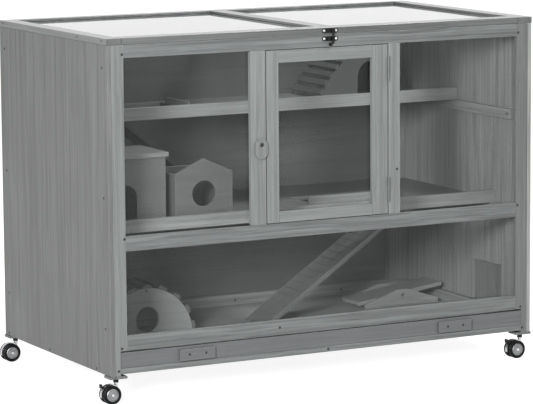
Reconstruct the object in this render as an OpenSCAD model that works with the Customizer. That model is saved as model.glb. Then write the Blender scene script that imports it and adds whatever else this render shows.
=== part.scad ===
// Small-animal cage on casters: painted timber frame, clear windows, a pull-out floor
// tray, a full middle floor, a half-depth upper shelf, and a lift-up lid.
// Millimetres. X runs to the right, Y to the back, Z up. The origin is on the floor under
// the middle of the cabinet.

/* [Cabinet] */
// Width over the two side panels
width = 1150; // [1140:2:1180]
// Depth over the front frame and the back panel
depth = 627; // [620:1:660]
// Height of the cabinet's top edge above the floor, without the lid
body_top = 837; // [830:1:860]
// Height of the side panels' lower edge above the floor
panel_bottom = 65.5; // [65:0.5:67]
// Thickness of the side and back panels
panel_t = 10; // [9:0.5:11]
// Thickness of the front frame's timber
frame_t = 12; // [10:1:14]
// Width of the front posts beside the side panels
post_w = 32; // [28:1:36]
// Width of the part of each front post below the windows
leg_w = 15; // [14:1:20]

/* [Front rails] */
// Height of the top rail
top_rail_h = 31; // [26:1:34]
// Height of the middle rail's lower edge
mid_rail_z = 357.5; // [350:0.5:360]
// Height of the middle rail
mid_rail_h = 35.2; // [30:0.2:38]
// Height of the lower window rail's lower edge
low_rail_z = 124.6; // [122:0.2:128]
// Height of the lower window rail
low_rail_h = 35.3; // [30:0.1:38]
// Height of the bottom rail's lower edge
bottom_rail_z = 70.3; // [68:0.1:72]
// Height of the bottom rail
bottom_rail_h = 13.8; // [12:0.1:13.8]

/* [Door] */
// Left edge of the left door jamb
jamb_left_x = -205.6; // [-215:0.2:-204]
// Left edge of the door leaf
door_left_x = -162.8; // [-164:0.1:-160]
// Right edge of the door leaf
door_right_x = 166.5; // [160:0.5:170]
// Right edge of the right door jamb
jamb_right_x = 200.7; // [198:0.1:210]
// Width of the door's left stile
door_stile_left_w = 32.4; // [28:0.2:36]
// Width of the door's right stile
door_stile_right_w = 42.5; // [38:0.5:46]
// Height of the door's top rail
door_rail_top_h = 30; // [26:1:34]
// Height of the door's bottom rail
door_rail_bottom_h = 26; // [22:1:30]

/* [Floors] */
// Top surface of the pull-out tray
tray_top = 87.7; // [87.7:0.1:88]
// Top surface of the middle floor
mid_floor_top = 384.2; // [382:0.2:386]
// Top surface of the upper shelf
shelf_top = 627.5; // [624:0.5:632]
// Thickness of the floor boards
board_t = 9.5; // [8:0.5:10]
// Front face of the middle floor's lip
mid_lip_y = -166.6; // [-170:0.2:-164]
// Front face of the upper shelf's lip
shelf_lip_y = 16.9; // [10:0.1:20]
// Height of the lips
lip_h = 30.4; // [28:0.2:34]
// Thickness of the lips
lip_t = 15; // [12:0.5:15]
// Height of the cleats that carry the floors
cleat_h = 24.5; // [20:0.5:26]

/* [Lid] */
// Thickness of the lid's bars
lid_t = 15.3; // [12:0.1:18]
// Width of the lid's side bars
lid_side_w = 40; // [36:1:46]
// Width of the lid's front bar
lid_front_w = 46; // [40:1:50]
// Width of the lid's back bar
lid_back_w = 26; // [22:1:40]
// Width of the lid's centre bar
lid_centre_w = 42; // [36:1:46]
// Left edge of the lid's centre bar
lid_centre_x = -8; // [-30:1:0]
// Thickness of the clear sheets
sheet_t = 2.5; // [2:0.5:3]
// Depth of the lid's clear sheets below its top face
sheet_drop = 6.2; // [4:0.2:8]

/* [Casters] */
// Diameter of the caster wheels
wheel_d = 45; // [42:1:46]
// Height of the mounting blocks' underside
block_z = 59.5; // [59:0.5:60]
// Width of the mounting blocks
block_w = 44; // [40:1:46]
// Depth of the mounting blocks
block_d = 36; // [32:1:40]
// Distance of the wheel axle behind the swivel axis
caster_trail = 15; // [15:1:18]

/* [Hidden] */
$fn = 48;

// Paint and material colours
paint_side = [0.26, 0.27, 0.27];
paint_front = [0.34, 0.36, 0.35];
paint_inside = [0.28, 0.30, 0.29];
clear = [0.85, 0.92, 0.95, 0.3];
black_metal = [0.05, 0.05, 0.05];
bright_metal = [0.75, 0.76, 0.78];
tyre_black = [0.04, 0.04, 0.04];

// Outer and inner planes of the cabinet
x_out = width / 2;
x_in = x_out - panel_t;
y_front = -depth / 2;
y_back = depth / 2;
y_back_in = y_back - panel_t;
y_frame_in = y_front + frame_t;
post_in = x_in - post_w;
leg_in = x_in - leg_w;
mid_rail_top = mid_rail_z + mid_rail_h;
low_rail_top = low_rail_z + low_rail_h;
top_rail_z = body_top - top_rail_h;
bottom_rail_top = bottom_rail_z + bottom_rail_h;

// Running clearance between parts of different bodies, and between boards in a group
gap = 0.3;
seam = 0.2;

// Back posts and base rails
back_post_w = 48;
back_post_t = 24;
base_rail_t = 12;
base_rail_top = 114;

// Door opening
door_gap = 1.6;
door_bottom = mid_rail_top + door_gap;
door_top = top_rail_z - door_gap;
jamb_left_in = door_left_x - 2.4;
jamb_right_in = door_right_x + 2.3;

// Hatch in the right side panel: opening and its door
hatch_y0 = -214;
hatch_y1 = -59.5;
hatch_z0 = 114;
hatch_z1 = 216;
hatch_lap = 8;
hatch_t = 8;

// Ramps: front face, width, foot and head of the walking surface
ramp_w = 107;
ramp_t = 12;
tread_t = 1.2;
tread_w = 10;
tread_pitch = 25;
ramp_lower_y = -24;
ramp_lower_foot = [-22.5, tray_top + gap];
ramp_lower_head = [419.5, mid_floor_top];
ramp_upper_y = 168;
ramp_upper_foot = [-33.7, mid_floor_top];
ramp_upper_head = [-337.5, shelf_top];

// Openings that the ramps pass through
mid_hole = [128, 421, -31, 114];
shelf_hole = [-338, -154, 160, 279];
guard_t = 5;
guard_h = 16;
mid_guard_x = [100, 352];
mid_guard_h = 21;

// Houses
wall_t = 8;
house_y = -149.7;
house_depth = 150;
doorway_r = 31;
house_a_x = [-564, -349.4];
house_a_h = 165.5;
house_a_door_h = 102;
house_b_x = [-325.2, -170.5];
house_b_eaves_h = 119.4;
house_b_apex_h = 154;
house_b_hole_h = 69;
house_c_x = [223, 456];
house_c_y = 133;
house_c_depth = 146;
house_c_h = 103;
house_c_arc = [447.5, 533, 238.4];
house_c_door_x = 379;
house_c_door_r = 41.5;
house_c_door_h = 90;

// Arched hut
hut_x = -342;
hut_y = -23;
hut_r = 123;
hut_depth = 150;
hut_wall_t = 10;
hut_hole_r = 31;
hut_hole_h = 46;
hut_slats = 9;
hut_slat_step = 20;
hut_slat_w = 26;
hut_slat_t = 10;

// Seesaw
seesaw_x = 422;
seesaw_y = 53.5;
seesaw_pivot_h = 29.8;
seesaw_len = 250;
seesaw_plank_t = 10;
seesaw_plank_w = 88;
seesaw_plate_t = 8;
seesaw_plate_len = 216;
seesaw_tilt = 7.6;
seesaw_axle_r = 3;

// Hinges: knuckle and pin radii, running clearance on the pin, leaf thickness
knuckle_r = 2.6;
pin_r = 1.3;
pin_clear = 0.06;
leaf_t = 0.9;
door_pin_y = y_front - knuckle_r - 0.2;
door_pin_x = (door_right_x + jamb_right_in) / 2;
door_hinge_len = 60;
door_hinge_z = [746, 453];
lid_pin_y = y_back + knuckle_r + gap;
lid_hinge_x = [-390, 390];
lid_hinge_len = 70;
lid_leaf_h = 13;
lid_leaf_x = knuckle_r + gap - leaf_t;
hatch_pin = [x_out + 3.2, hatch_y1 + hatch_lap + 3.2];
hatch_hinge_z = [136, 194];
hatch_hinge_len = 30;

// Overhang of the lid at each side
lid_over = 1.5;

// Turn buttons: half width, half length, pivot above the middle, thickness
button_r = 16.5;
button_half = 24;
button_drop = 10.5;
button_t = 6;
button_screw_r = 2.5;
door_button = [door_left_x - 0.6 - button_r, 584];
hatch_button_at = [hatch_y0 - hatch_lap - 1 - button_r, 190];

// Latch on the lid's front edge
latch_x = 8;
latch_w = 43;
latch_plate_t = 1.2;
latch_pivot = [latch_x + 7, body_top + 7.5];
latch_rod_r = 1.5;
latch_drop = 28;
latch_y = y_front - latch_plate_t - 2.2;

// Tray
tray_gap = 0.8;
tray_z = bottom_rail_top + gap;
tray_front_top = 121;
grip_x = 354;
grip_w = 93;
grip_h = 27;
grip_t = 7;
grip_z = 101;

// Casters
block_t = panel_bottom - block_z;
block_proud = 3;
caster_x = x_out + block_proud - block_w / 2;
caster_y = depth / 2 - block_d / 2 + 0.7;
wheel_r = wheel_d / 2;
wheel_w = 10.5;
wheel_in = 5.5;
fork_half = 4.8;
caster_axle_r = 3;
caster_clear = 0.05;
stem_r = 3;
stem_end = 31;
boss_r = 5;
socket_top = 49.7;
hood_r = 24.5;
brake_at = [-caster_trail - 11, wheel_r + 17];
brake_pin_r = 1.5;

// A board given by its corners
module board(x0, x1, y0, y1, z0, z1) {
    translate([x0, y0, z0])
        cube([x1 - x0, y1 - y0, z1 - z0]);
}

// A cylinder along Y from the front face y0
module rod_y(x, y0, z, r, length) {
    translate([x, y0, z])
        rotate([-90, 0, 0])
            cylinder(r = r, h = length);
}

// A cylinder along X from the face x0
module rod_x(x0, y, z, r, length) {
    translate([x0, y, z])
        rotate([0, 90, 0])
            cylinder(r = r, h = length);
}

// Extrudes an outline drawn in X and Z backwards from the plane y
module plate_xz(y, thickness) {
    translate([0, y + thickness, 0])
        rotate([90, 0, 0])
            linear_extrude(height = thickness)
                children();
}

// A doorway with a round top, drawn as an outline
module arch(x, z0, r, h) {
    translate([x - r, z0])
        square([2 * r, h - r]);
    translate([x, z0 + h - r])
        circle(r = r);
}

// Cabinet panels and frame

module side_panel_left() {
    color(paint_side)
        board(-x_out, -x_in, y_front, y_back, panel_bottom, body_top);
}

module side_panel_right() {
    color(paint_side)
        difference() {
            board(x_in, x_out, y_front, y_back, panel_bottom, body_top);
            board(x_in - 1, x_out + 1, hatch_y0, hatch_y1, hatch_z0, hatch_z1);
        }
}

// Packer that lifts the hatch's turn button level with the hatch door's face
module hatch_packer() {
    color(paint_side)
        board(x_out, x_out + gap + hatch_t, hatch_button_at[0] - button_r,
            hatch_button_at[0] + button_r, hatch_button_at[1] - button_drop - button_half,
            hatch_button_at[1] - button_drop + button_half);
}

module back_panel() {
    color(paint_side)
        board(-x_in, x_in, y_back_in, y_back, panel_bottom, body_top);
}

// A front post: full width beside the windows, narrower beside the tray
module front_post() {
    board(-x_in, -post_in, y_front, y_frame_in, low_rail_z, body_top);
    board(-x_in, -leg_in, y_front, y_frame_in, panel_bottom, low_rail_z + 1);
}

module front_post_left() {
    color(paint_front)
        front_post();
}

module front_post_right() {
    color(paint_front)
        mirror([1, 0, 0])
            front_post();
}

module front_rails() {
    color(paint_front) {
        board(-post_in, post_in, y_front, y_frame_in, top_rail_z, body_top);
        board(-post_in, post_in, y_front, y_frame_in, mid_rail_z, mid_rail_top);
        board(-post_in, post_in, y_front, y_frame_in, low_rail_z, low_rail_top);
        board(-leg_in, leg_in, y_front, y_frame_in, bottom_rail_z, bottom_rail_top);
    }
}

module door_jambs() {
    color(paint_front) {
        board(jamb_left_x, jamb_left_in, y_front, y_frame_in, mid_rail_top, top_rail_z);
        board(jamb_right_in, jamb_right_x, y_front, y_frame_in, mid_rail_top, top_rail_z);
    }
}

module back_posts() {
    color(paint_inside)
        for (side = [0, 1])
            mirror([side, 0, 0])
                board(x_in - back_post_w, x_in, y_back_in - back_post_t, y_back_in,
                    base_rail_top, body_top);
}

module base_rails() {
    color(paint_inside) {
        for (side = [0, 1])
            mirror([side, 0, 0])
                board(leg_in, x_in, y_frame_in, y_back_in, panel_bottom, base_rail_top);
        board(-leg_in + seam, leg_in - seam, y_back_in - base_rail_t, y_back_in,
            panel_bottom, base_rail_top);
    }
}

// Battens under the tray, from the bottom rail to the back base rail
module tray_runners() {
    runner_w = 30;
    color(paint_inside)
        for (x = [-leg_in, -runner_w / 2, leg_in - runner_w])
            board(x, x + runner_w, y_frame_in, y_back_in - base_rail_t,
                bottom_rail_z, bottom_rail_top);
}

// A clear sheet behind the frame, lapping it all round
module window(x0, x1, z0, z1, lap) {
    color(clear)
        board(x0 - lap, x1 + lap, y_frame_in, y_frame_in + sheet_t, z0 - lap, z1 + lap);
}

module windows_upper() {
    window(-post_in, jamb_left_x, mid_rail_top, top_rail_z, 10);
    window(jamb_right_x, post_in, mid_rail_top, top_rail_z, 10);
}

module window_lower() {
    window(-post_in, post_in, low_rail_top, mid_rail_z, 10);
}

// Floors, lips and cleats

// A floor board across the cabinet, notched round the back posts
module floor_board(y0, top, hole) {
    color(paint_inside)
        difference() {
            board(-x_in, x_in, y0, y_back_in, top - board_t, top);
            for (side = [0, 1])
                mirror([side, 0, 0])
                    board(x_in - back_post_w - seam, x_in + 1,
                        y_back_in - back_post_t - seam, y_back_in + 1, 0, body_top);
            board(hole[0], hole[1], hole[2], hole[3], 0, body_top);
        }
}

module mid_floor() {
    floor_board(mid_lip_y + lip_t, mid_floor_top, mid_hole);
}

// The middle floor's front lip and the strip along the front of its ramp opening
module mid_floor_lip() {
    z0 = mid_floor_top - board_t;
    color(paint_front) {
        board(-x_in, x_in, mid_lip_y, mid_lip_y + lip_t, z0, z0 + lip_h);
        board(mid_guard_x[0], mid_guard_x[1], mid_hole[2] - guard_t, mid_hole[2],
            mid_floor_top, mid_floor_top + mid_guard_h);
    }
}

// Two cleats under the middle floor, each on an upright board near the front
module mid_floor_supports() {
    cleat_t = 12;
    upright_w = 56;
    z1 = mid_floor_top - board_t;
    y0 = -272;
    color(paint_inside)
        for (side = [0, 1])
            mirror([side, 0, 0]) {
                board(x_in - cleat_t, x_in, y0, y_back_in - back_post_t - seam,
                    z1 - cleat_h, z1);
                board(x_in - cleat_t, x_in, y0, y0 + upright_w,
                    base_rail_top, z1 - cleat_h - seam);
            }
}

module upper_shelf() {
    floor_board(shelf_lip_y + lip_t, shelf_top, shelf_hole);
}

// The shelf's front lip and the low strip beside its ramp opening
module shelf_lip() {
    z0 = shelf_top - board_t;
    color(paint_front) {
        board(-x_in, x_in, shelf_lip_y, shelf_lip_y + lip_t, z0, z0 + lip_h);
        board(shelf_hole[1], shelf_hole[1] + guard_t, shelf_hole[2] - 39, shelf_hole[3] - 24,
            shelf_top, shelf_top + guard_h);
    }
}

module shelf_cleats() {
    cleat_t = 12;
    z1 = shelf_top - board_t;
    color(paint_inside)
        for (side = [0, 1])
            mirror([side, 0, 0])
                board(x_in - cleat_t, x_in, -250, y_back_in - back_post_t - seam,
                    z1 - cleat_h, z1);
}

// Ramps

// A sloping board from foot to head, its walking surface through both, with treads.
// foot and head are [x, z]. The lower end is cut level, and the upper end upright.
module ramp(y, foot, head) {
    run = head[0] - foot[0];
    rise = head[1] - foot[1];
    length = sqrt(run * run + rise * rise);
    angle = asin(rise / length);
    drop = ramp_t / cos(angle);
    treads = floor((length - 2 * tread_pitch) / tread_pitch);
    flip = run < 0 ? 1 : 0;
    translate([foot[0], 0, foot[1]])
        mirror([flip, 0, 0]) {
            plate_xz(y, ramp_w)
                polygon([
                    [0, 0],
                    [abs(run), rise],
                    [abs(run), rise - drop],
                    [drop / tan(angle), 0],
                ]);
            for (i = [1 : treads])
                rotate([0, -angle, 0])
                    translate([i * tread_pitch + tread_w, y + 6, seam])
                        cube([tread_w, ramp_w - 12, tread_t]);
        }
}

module ramp_lower() {
    color(paint_inside)
        ramp(ramp_lower_y, ramp_lower_foot, ramp_lower_head);
}

module ramp_upper() {
    color(paint_inside)
        ramp(ramp_upper_y, ramp_upper_foot, ramp_upper_head);
}

// Houses

// The two sides and the back of a box house, as three boards
module house_shell(x0, x1, y0, y1, z0, h) {
    board(x0, x0 + wall_t, y0, y1, z0, z0 + h);
    board(x1 - wall_t, x1, y0, y1, z0, z0 + h);
    board(x0 + wall_t + seam, x1 - wall_t - seam, y1 - wall_t, y1, z0, z0 + h);
}

module house_a() {
    x0 = house_a_x[0];
    x1 = house_a_x[1];
    color(paint_inside) {
        plate_xz(house_y, wall_t)
            difference() {
                translate([x0, mid_floor_top])
                    square([x1 - x0, house_a_h]);
                arch((x0 + x1) / 2, mid_floor_top - 1, doorway_r, house_a_door_h + 1);
            }
        house_shell(x0, x1, house_y + wall_t + seam, house_y + house_depth,
            mid_floor_top, house_a_h);
    }
}

module house_a_roof() {
    overhang = 6;
    roof_t = 11;
    z0 = mid_floor_top + house_a_h;
    color(paint_front)
        board(house_a_x[0], house_a_x[1] + overhang, house_y - overhang,
            house_y + house_depth, z0, z0 + roof_t);
}

module house_b() {
    x0 = house_b_x[0];
    x1 = house_b_x[1];
    mid = (x0 + x1) / 2;
    z0 = mid_floor_top;
    color(paint_inside) {
        difference() {
            plate_xz(house_y, wall_t)
                polygon([
                    [x0, z0],
                    [x1, z0],
                    [x1, z0 + house_b_eaves_h],
                    [mid, z0 + house_b_apex_h],
                    [x0, z0 + house_b_eaves_h],
                ]);
            rod_y(mid, house_y - 1, z0 + house_b_hole_h, doorway_r, wall_t + 2);
        }
        house_shell(x0, x1, house_y + wall_t + seam, house_y + house_depth,
            z0, house_b_eaves_h);
    }
}

// The house on the shelf: a front with a curved left edge, its right side, back and top
module house_c() {
    x1 = house_c_x[1];
    z0 = shelf_top;
    z1 = shelf_top + house_c_h;
    y1 = house_c_y + house_c_depth;
    color(paint_inside) {
        difference() {
            house_c_plate(house_c_y);
            plate_xz(house_c_y - 1, wall_t + 2)
                arch(house_c_door_x, z0 - 1, house_c_door_r, house_c_door_h + 1);
        }
        house_c_plate(y1 - wall_t);
        board(x1 - wall_t, x1, house_c_y + wall_t + seam, y1 - wall_t - seam, z0, z1);
        board(house_c_arc_x(z1) + 4, x1, house_c_y, y1, z1 + seam, z1 + seam + wall_t);
    }
}

// An upright plate of the house on the shelf, rounded along its left edge
module house_c_plate(y) {
    intersection() {
        board(house_c_x[0], house_c_x[1], y, y + wall_t, shelf_top, shelf_top + house_c_h);
        rod_y(house_c_arc[0], y - 1, house_c_arc[1], house_c_arc[2], wall_t + 2);
    }
}

// The curved edge's X at height z
function house_c_arc_x(z) =
    house_c_arc[0] - sqrt(house_c_arc[2] * house_c_arc[2]
        - (z - house_c_arc[1]) * (z - house_c_arc[1]));

// Boards laid up the curved side of the house on the shelf
module house_c_treads() {
    board_w = 15;
    turn0 = asin((shelf_top - house_c_arc[1]) / house_c_arc[2]);
    color(paint_inside)
        for (i = [0 : 4])
            translate([house_c_arc[0], house_c_y, house_c_arc[1]])
                rotate([0, turn0 + 4.1 + 6 * i, 0])
                    translate([-house_c_arc[2] - seam - 7, 0, -board_w / 2])
                        cube([7, house_c_depth, board_w]);
}

// Arched hut

module hut_ends() {
    z0 = tray_top + gap;
    color(paint_inside)
        for (y = [hut_y, hut_y + hut_depth - hut_wall_t])
            difference() {
                intersection() {
                    rod_y(hut_x, y, z0, hut_r, hut_wall_t);
                    board(hut_x - hut_r - 1, hut_x + hut_r + 1, y - 1, y + hut_wall_t + 1,
                        z0, z0 + hut_r + 1);
                }
                if (y == hut_y)
                    rod_y(hut_x, y - 1, z0 + hut_hole_h, hut_hole_r, hut_wall_t + 2);
            }
}

module hut_slats() {
    color(paint_inside)
        for (i = [0 : hut_slats - 1])
            translate([hut_x, hut_y, tray_top + gap])
                rotate([0, -hut_slat_step * (i + 0.5), 0])
                    translate([hut_r + seam, 0, -hut_slat_w / 2])
                        cube([hut_slat_t, hut_depth, hut_slat_w]);
}

// Seesaw

module seesaw_base() {
    half = seesaw_plate_len / 2;
    end_h = 12;
    apex_h = 43;
    apex_half = 14;
    z0 = tray_top + gap;
    y_far = seesaw_y + seesaw_plate_t + seesaw_plank_w + 2;
    color(paint_inside) {
        for (y = [seesaw_y, y_far])
            difference() {
                translate([seesaw_x, 0, z0])
                    plate_xz(y, seesaw_plate_t)
                        polygon([
                            [-half, 0],
                            [half, 0],
                            [half, end_h],
                            [apex_half, apex_h],
                            [-apex_half, apex_h],
                            [-half, end_h],
                        ]);
                rod_y(seesaw_x, y - 1, tray_top + seesaw_pivot_h, seesaw_axle_r,
                    seesaw_plate_t + 2);
            }
        board(seesaw_x - 20, seesaw_x + 20, seesaw_y + seesaw_plate_t + seam,
            y_far - seam, z0, z0 + 8);
    }
}

module seesaw_axle() {
    head_t = 1.5;
    length = 2 * seesaw_plate_t + seesaw_plank_w + 2;
    z = tray_top + seesaw_pivot_h;
    color(bright_metal) {
        rod_y(seesaw_x, seesaw_y, z, seesaw_axle_r, length);
        rod_y(seesaw_x, seesaw_y - head_t, z, seesaw_axle_r + 2, head_t);
        rod_y(seesaw_x, seesaw_y + length, z, seesaw_axle_r + 2, head_t);
    }
}

module seesaw_plank() {
    color(paint_inside)
        translate([seesaw_x, seesaw_y + seesaw_plate_t + 1, tray_top + seesaw_pivot_h])
            rotate([0, -seesaw_tilt, 0])
                difference() {
                    translate([-seesaw_len / 2, 0, -seesaw_plank_t / 2])
                        cube([seesaw_len, seesaw_plank_w, seesaw_plank_t]);
                    rod_y(0, -1, 0, seesaw_axle_r + pin_clear, seesaw_plank_w + 2);
                }
}

// Hinges

// Knuckles of one leaf along Z, in thirds of the hinge's length: the outer two or the
// middle one
function knuckle_spans(length, outer) =
    outer ? [[-length / 2, -length / 6 - 0.2], [length / 6 + 0.2, length / 2]]
        : [[-length / 6 + 0.2, length / 6 - 0.2]];

// One leaf with its pin axis on Z. The leaf lies along +Y, between x0 and x0 + leaf_t, and
// starts start before it clears the other leaf's knuckles. The outer leaf holds the pin.
module leaf(length, reach, x0, outer) {
    difference() {
        union() {
            for (s = knuckle_spans(length, outer))
                translate([0, 0, s[0]])
                    cylinder(r = knuckle_r, h = s[1] - s[0]);
            translate([x0, 0, -length / 2])
                cube([leaf_t, reach, length]);
        }
        for (s = knuckle_spans(length, !outer))
            translate([0, 0, s[0] - 0.4])
                cylinder(r = knuckle_r + 0.3, h = s[1] - s[0] + 0.8);
        if (!outer)
            translate([0, 0, -length])
                cylinder(r = pin_r + pin_clear, h = 2 * length);
    }
    if (outer)
        translate([0, 0, -length / 2])
            cylinder(r = pin_r, h = length);
}

// Fixed leaves with their pins: door on the right jamb, lid on the back, hatch on the side
module fixed_hinges() {
    color(bright_metal) {
        for (z = door_hinge_z)
            translate([door_pin_x, door_pin_y, z])
                leaf(door_hinge_len, 12, 0.25, true);
        for (x = lid_hinge_x)
            translate([x, lid_pin_y, body_top])
                rotate([0, 90, 0])
                    rotate([0, 0, -90])
                        leaf(lid_hinge_len, lid_leaf_h, lid_leaf_x, true);
        for (z = hatch_hinge_z)
            translate([hatch_pin[0], hatch_pin[1], z])
                leaf(hatch_hinge_len, 14, -3.2, true);
    }
}

module door_hinges() {
    color(bright_metal)
        for (z = door_hinge_z)
            translate([door_pin_x, door_pin_y, z])
                leaf(door_hinge_len, 12, -0.25 - leaf_t, false);
}

// The lid's two hinge leaves, and the latch plate that carries the hook
module lid_hardware() {
    color(black_metal) {
        for (x = lid_hinge_x)
            translate([x, lid_pin_y, body_top])
                rotate([0, -90, 0])
                    rotate([0, 0, -90])
                        leaf(lid_hinge_len, lid_leaf_h, lid_leaf_x, false);
        latch_plate(body_top + lid_t / 2);
        rod_y(latch_pivot[0], latch_y - 2.6, latch_pivot[1], 2,
            y_front - latch_plate_t - latch_y + 2.6);
        rod_y(latch_pivot[0], latch_y - 3.8, latch_pivot[1], 3.6, 1.2);
    }
}

module hatch_hinges() {
    color(bright_metal)
        for (z = hatch_hinge_z)
            translate([hatch_pin[0], hatch_pin[1], z])
                rotate([0, 0, -90])
                    mirror([1, 0, 0])
                        hatch_leaf();
}

// The hatch door's leaf: its knuckle and a plate on the door's back edge
module hatch_leaf() {
    difference() {
        union() {
            for (s = knuckle_spans(hatch_hinge_len, false))
                translate([0, 0, s[0]])
                    cylinder(r = knuckle_r, h = s[1] - s[0]);
            translate([-3.2, -2.2, -hatch_hinge_len / 2])
                cube([leaf_t, 7, hatch_hinge_len]);
        }
        for (s = knuckle_spans(hatch_hinge_len, true))
            translate([0, 0, s[0] - 0.4])
                cylinder(r = knuckle_r + 0.3, h = s[1] - s[0] + 0.8);
        translate([0, 0, -hatch_hinge_len])
            cylinder(r = pin_r + pin_clear, h = 2 * hatch_hinge_len);
    }
}

// Door

module door_frame() {
    x0 = door_left_x;
    x1 = door_right_x;
    left_in = x0 + door_stile_left_w;
    right_in = x1 - door_stile_right_w;
    color(paint_front) {
        board(x0, left_in, y_front, y_frame_in, door_bottom, door_top);
        board(right_in, x1, y_front, y_frame_in, door_bottom, door_top);
        board(left_in + seam, right_in - seam, y_front, y_frame_in,
            door_top - door_rail_top_h, door_top);
        board(left_in + seam, right_in - seam, y_front, y_frame_in,
            door_bottom, door_bottom + door_rail_bottom_h);
    }
}

module door_pane() {
    lap = 9;
    color(clear)
        board(door_left_x + door_stile_left_w - lap, door_right_x - door_stile_right_w + lap,
            y_frame_in, y_frame_in + sheet_t,
            door_bottom + door_rail_bottom_h - lap, door_top - door_rail_top_h + lap);
}

// A turn button hanging from its pivot at the origin, flat on Y = 0 to -button_t
module button_body() {
    straight = button_half - button_r;
    difference() {
        union() {
            for (s = [-straight, straight])
                rod_y(0, -button_t, -button_drop + s, button_r, button_t);
            board(-button_r, button_r, -button_t, 0, -button_drop - straight,
                -button_drop + straight);
        }
        rod_y(0, -button_t - 1, 0, button_screw_r + pin_clear, button_t + 2);
    }
}

module turn_button() {
    color(paint_front)
        translate([door_button[0], y_front - gap, door_button[1]])
            button_body();
}

// Lid

module lid_frame() {
    x1 = x_out + lid_over;
    z1 = body_top + lid_t;
    z0 = body_top + gap;
    bar_end = x1 - lid_side_w - seam;
    front_in = y_front + lid_front_w;
    back_in = y_back - lid_back_w;
    color(paint_front)
        difference() {
            union() {
                for (side = [0, 1])
                    mirror([side, 0, 0])
                        board(x1 - lid_side_w, x1, y_front, y_back, z0, z1);
                board(-bar_end, bar_end, y_front, front_in, z0, z1);
                board(-bar_end, bar_end, back_in, y_back, z0, z1);
                board(lid_centre_x, lid_centre_x + lid_centre_w, front_in + seam,
                    back_in - seam, z0, z1);
            }
            lid_sheets(10, z1 - sheet_drop - sheet_t - seam, z1 - sheet_drop + seam);
        }
}

// Both clear sheets of the lid, wider than its bays by lap all round
module lid_sheets(lap, z0, z1) {
    for (bay = lid_bays())
        board(bay[0] - lap, bay[1] + lap, y_front + lid_front_w - lap,
            y_back - lid_back_w + lap, z0, z1);
}

// Left and right edges of the lid's two bays
function lid_bays() =
    let (x1 = x_out + lid_over - lid_side_w)
    [[-x1, lid_centre_x], [lid_centre_x + lid_centre_w, x1]];

module lid_panels() {
    z1 = body_top + lid_t - sheet_drop;
    color(clear)
        lid_sheets(9.8, z1 - sheet_t, z1);
}

// A latch plate with rounded ends, centred at height z on the front face
module latch_plate(z) {
    r = 5.5;
    straight = latch_w / 2 - r;
    y = y_front - latch_plate_t;
    for (s = [-straight, straight])
        rod_y(latch_x + s, y, z, r, latch_plate_t);
    board(latch_x - straight, latch_x + straight, y, y_front, z - r, z + r);
}

// The plate and stud on the top rail that the hook catches
module latch_keeper() {
    color(black_metal) {
        latch_plate(body_top - 11.5);
        rod_y(latch_x - 4, y_front - 5.5, body_top - 13, 2.2, 5.5 - latch_plate_t);
        rod_y(latch_x - 4, y_front - 6.7, body_top - 13, 3.4, 1.2);
    }
}

// The hook hangs from the lid's plate beside the stud. It ends in a toe and a finger ring
module latch_hook() {
    x = latch_pivot[0];
    z = latch_pivot[1];
    z_end = z - latch_drop;
    ring = [x - 7.8, z_end - 4.4];
    color(black_metal)
        difference() {
            union() {
                rod_y(x, latch_y - 2.3, z, 4.2, 3);
                board(x - latch_rod_r, x + latch_rod_r, latch_y - 2.3, latch_y + 0.7,
                    z_end, z);
                rod_y(x, latch_y - 2.3, z_end, latch_rod_r, 3);
                translate([x, 0, z_end])
                    rotate([0, -35, 0])
                        board(-8, 0, latch_y - 2.3, latch_y + 0.7,
                            -latch_rod_r, latch_rod_r);
                rod_y(ring[0], latch_y - 2.3, ring[1], 4.4, 3);
            }
            rod_y(ring[0], latch_y - 6, ring[1], 1.7, 12);
            rod_y(x, latch_y - 6, z, 2 + pin_clear, 12);
        }
}

// Tray

module tray_board() {
    color(paint_inside)
        board(-leg_in + tray_gap + 1, leg_in - tray_gap - 1, y_front + frame_t + seam,
            y_back_in - base_rail_t - 2, tray_z, tray_top);
}

module tray_front() {
    color(paint_side)
        board(-leg_in + tray_gap, leg_in - tray_gap, y_front, y_frame_in,
            tray_z, tray_front_top);
}

module tray_grips() {
    color(paint_side)
        for (side = [-1, 1])
            board(side * grip_x - grip_w / 2, side * grip_x + grip_w / 2,
                y_front - grip_t, y_front, grip_z - grip_h / 2, grip_z + grip_h / 2);
}

// Side hatch

module hatch_door() {
    color(paint_side)
        board(x_out + gap, x_out + gap + hatch_t, hatch_y0 - hatch_lap,
            hatch_y1 + hatch_lap, hatch_z0 - hatch_lap, hatch_z1 + hatch_lap);
}

module hatch_button() {
    color(paint_side)
        translate([x_out + hatch_t + 2 * gap, hatch_button_at[0], hatch_button_at[1]])
            rotate([0, 0, 90])
                button_body();
}

// Casters

module caster_blocks() {
    color(paint_side)
        for (sx = [-1, 1])
            for (sy = [-1, 1])
                board(sx * caster_x - block_w / 2, sx * caster_x + block_w / 2,
                    sy * caster_y - block_d / 2, sy * caster_y + block_d / 2,
                    block_z, panel_bottom);
}

// Fixed stem of each caster: a collar under the block and the swivel pin
module caster_stems() {
    color(black_metal)
        for (sx = [-1, 1])
            for (sy = [-1, 1])
                translate([sx * caster_x, sy * caster_y, 0]) {
                    translate([0, 0, socket_top + gap])
                        cylinder(r = 6.3, h = block_z - socket_top - gap);
                    translate([0, 0, stem_end])
                        cylinder(r = stem_r, h = block_z - stem_end);
                }
}

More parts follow.
